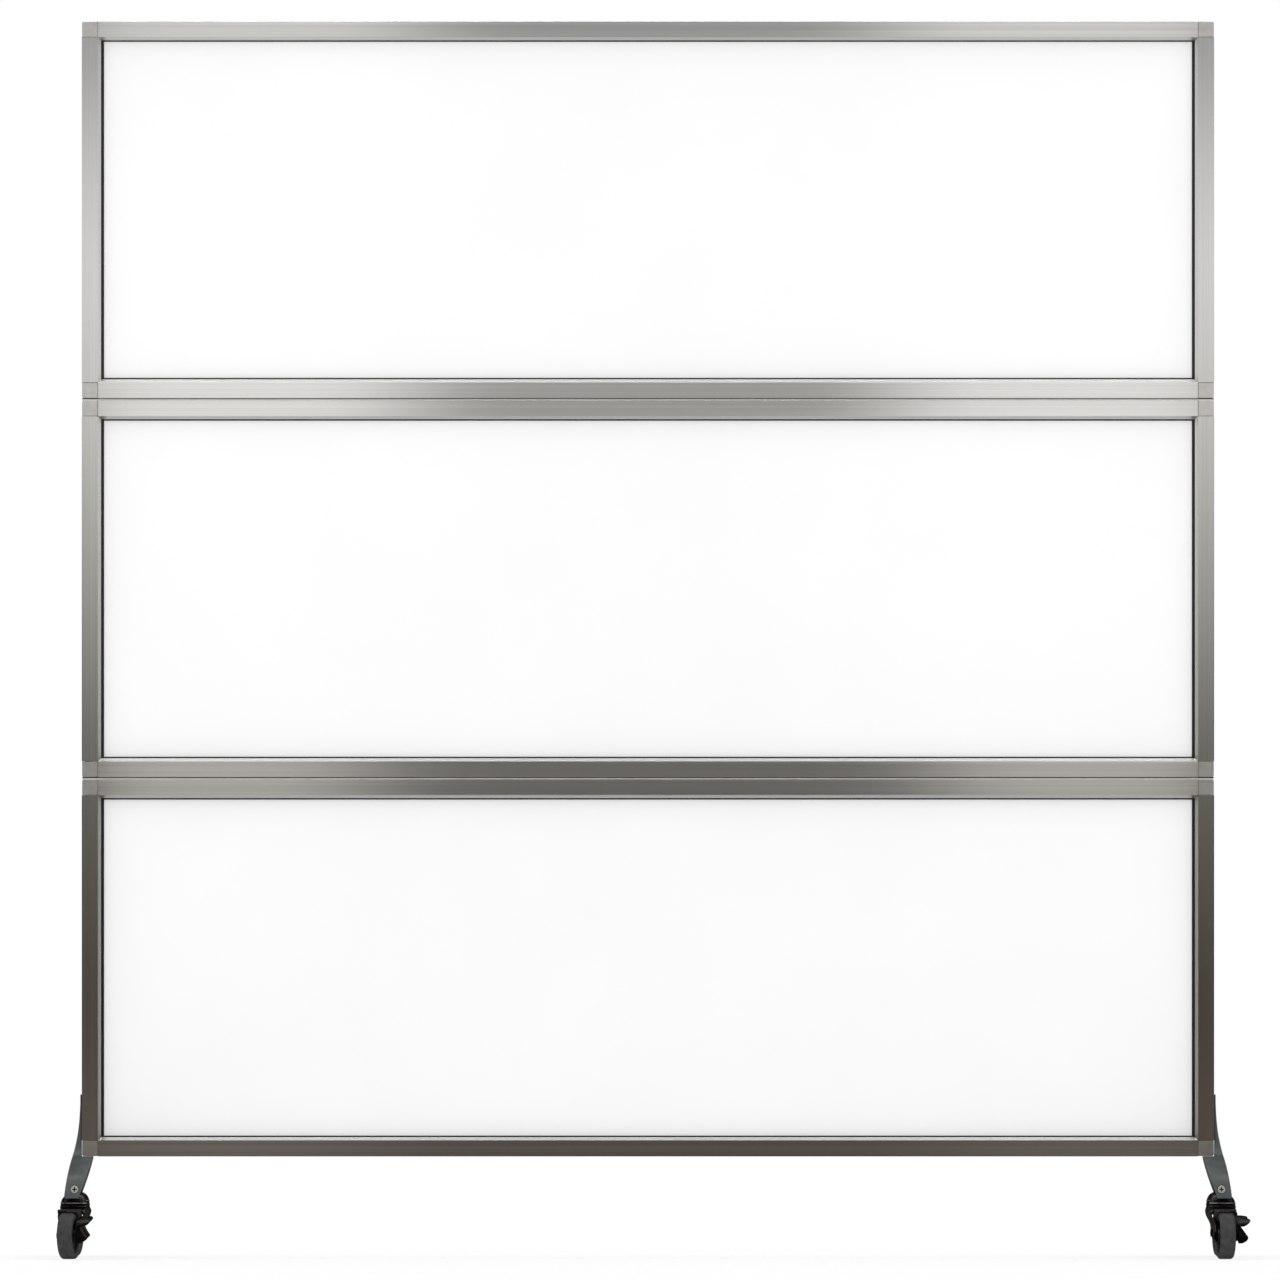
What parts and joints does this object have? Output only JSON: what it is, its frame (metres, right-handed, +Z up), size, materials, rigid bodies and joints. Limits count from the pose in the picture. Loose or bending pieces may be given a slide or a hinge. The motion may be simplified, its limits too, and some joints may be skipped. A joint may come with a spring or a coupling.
{
  "type": "portable medical divider",
  "caption": "Free-standing privacy screen: white panels in stacked aluminium frames on two arched legs with swivelling, braked casters.",
  "frame": {"origin": "on the floor, under the middle of the box round the whole object; the screen itself stands 7.7 mm left of it and 23.6 mm behind it, because the brakes stand out on the right and the casters trail forwards", "axes": "+X to the right of a person facing the front, the front faces -Y, +Z up"},
  "size_m": [1.9242, 0.4804, 1.997],
  "materials": {
    "extrusion": "satin anodised, fine lines along the length",
    "corner_block": "cast, lightly grained satin",
    "panel": "smooth opaque white sheet",
    "gasket": "black satin rubber",
    "joining_strip": "dark moulded plastic",
    "leg": "blue-grey satin enamel",
    "screw": "zinc-plated",
    "caster_stem": "black-finished steel",
    "fork": "gloss black",
    "axle_bolt": "black-finished steel",
    "tyre": "matte dark grey rubber",
    "wheel_hub": "black moulded plastic",
    "brake": "gloss black"
  },
  "bodies": {
    "screen": {"lower_left_stile": "extrusion", "lower_top_rail": "extrusion", "lower_right_stile": "extrusion", "lower_bottom_rail": "extrusion", "lower_bottom_left_block": "corner_block", "lower_top_left_block": "corner_block", "lower_top_right_block": "corner_block", "lower_bottom_right_block": "corner_block", "lower_panel": "panel", "lower_gasket": "gasket", "middle_left_stile": "extrusion", "middle_top_rail": "extrusion", "middle_right_stile": "extrusion", "middle_bottom_rail": "extrusion", "middle_bottom_left_block": "corner_block", "middle_top_left_block": "corner_block", "middle_top_right_block": "corner_block", "middle_bottom_right_block": "corner_block", "middle_panel": "panel", "middle_gasket": "gasket", "upper_left_stile": "extrusion", "upper_top_rail": "extrusion", "upper_right_stile": "extrusion", "upper_bottom_rail": "extrusion", "upper_bottom_left_block": "corner_block", "upper_top_left_block": "corner_block", "upper_top_right_block": "corner_block", "upper_bottom_right_block": "corner_block", "upper_panel": "panel", "upper_gasket": "gasket", "lower_middle_joining_strip": "joining_strip", "middle_upper_joining_strip": "joining_strip", "right_leg": "leg", "right_leg_fixing": "screw", "left_leg": "leg", "left_leg_fixing": "screw", "front_right_caster_stem": "caster_stem", "front_left_caster_stem": "caster_stem", "rear_right_caster_stem": "caster_stem", "rear_left_caster_stem": "caster_stem"},
    "front_right_swivel": {"front_right_fork": "fork", "front_right_axle_bolt": "axle_bolt"},
    "front_right_wheel": {"front_right_tyre": "tyre", "front_right_wheel_hub": "wheel_hub"},
    "front_right_brake": {"front_right_brake_rocker": "brake"},
    "front_left_swivel": {"front_left_fork": "fork", "front_left_axle_bolt": "axle_bolt"},
    "front_left_wheel": {"front_left_tyre": "tyre", "front_left_wheel_hub": "wheel_hub"},
    "front_left_brake": {"front_left_brake_rocker": "brake"},
    "rear_right_swivel": {"rear_right_fork": "fork", "rear_right_axle_bolt": "axle_bolt"},
    "rear_right_wheel": {"rear_right_tyre": "tyre", "rear_right_wheel_hub": "wheel_hub"},
    "rear_right_brake": {"rear_right_brake_rocker": "brake"},
    "rear_left_swivel": {"rear_left_fork": "fork", "rear_left_axle_bolt": "axle_bolt"},
    "rear_left_wheel": {"rear_left_tyre": "tyre", "rear_left_wheel_hub": "wheel_hub"},
    "rear_left_brake": {"rear_left_brake_rocker": "brake"}
  },
  "joints": [
    {"name": "front_right_swivel_turn", "type": "hinge", "parent": "screen", "child": "front_right_swivel", "pos_m": [0.91778, -0.16643, 0.09], "axis": [0, 0, 1], "continuous": true},
    {"name": "front_right_wheel_roll", "type": "hinge", "parent": "front_right_swivel", "child": "front_right_wheel", "pos_m": [0.92235, -0.20113, 0.0381], "axis": [0.9914, 0.1305, 0], "continuous": true},
    {"name": "front_right_brake_press", "type": "hinge", "parent": "front_right_swivel", "child": "front_right_brake", "pos_m": [0.92235, -0.20113, 0.0381], "axis": [0.9914, 0.1305, 0], "range_deg": [0, 20]},
    {"name": "front_left_swivel_turn", "type": "hinge", "parent": "screen", "child": "front_left_swivel", "pos_m": [-0.93322, -0.16643, 0.09], "axis": [0, 0, 1], "continuous": true},
    {"name": "front_left_wheel_roll", "type": "hinge", "parent": "front_left_swivel", "child": "front_left_wheel", "pos_m": [-0.94049, -0.20066, 0.0381], "axis": [0.9781, -0.2079, 0], "continuous": true},
    {"name": "front_left_brake_press", "type": "hinge", "parent": "front_left_swivel", "child": "front_left_brake", "pos_m": [-0.94049, -0.20066, 0.0381], "axis": [0.9781, -0.2079, 0], "range_deg": [0, 20]},
    {"name": "rear_right_swivel_turn", "type": "hinge", "parent": "screen", "child": "rear_right_swivel", "pos_m": [0.91778, 0.21357, 0.09], "axis": [0, 0, 1], "continuous": true},
    {"name": "rear_right_wheel_roll", "type": "hinge", "parent": "rear_right_swivel", "child": "rear_right_wheel", "pos_m": [0.92235, 0.17887, 0.0381], "axis": [0.9914, 0.1305, 0], "continuous": true},
    {"name": "rear_right_brake_press", "type": "hinge", "parent": "rear_right_swivel", "child": "rear_right_brake", "pos_m": [0.92235, 0.17887, 0.0381], "axis": [0.9914, 0.1305, 0], "range_deg": [0, 20]},
    {"name": "rear_left_swivel_turn", "type": "hinge", "parent": "screen", "child": "rear_left_swivel", "pos_m": [-0.93322, 0.21357, 0.09], "axis": [0, 0, 1], "continuous": true},
    {"name": "rear_left_wheel_roll", "type": "hinge", "parent": "rear_left_swivel", "child": "rear_left_wheel", "pos_m": [-0.94049, 0.17934, 0.0381], "axis": [0.9781, -0.2079, 0], "continuous": true},
    {"name": "rear_left_brake_press", "type": "hinge", "parent": "rear_left_swivel", "child": "rear_left_brake", "pos_m": [-0.94049, 0.17934, 0.0381], "axis": [0.9781, -0.2079, 0], "range_deg": [0, 20]}
  ]
}
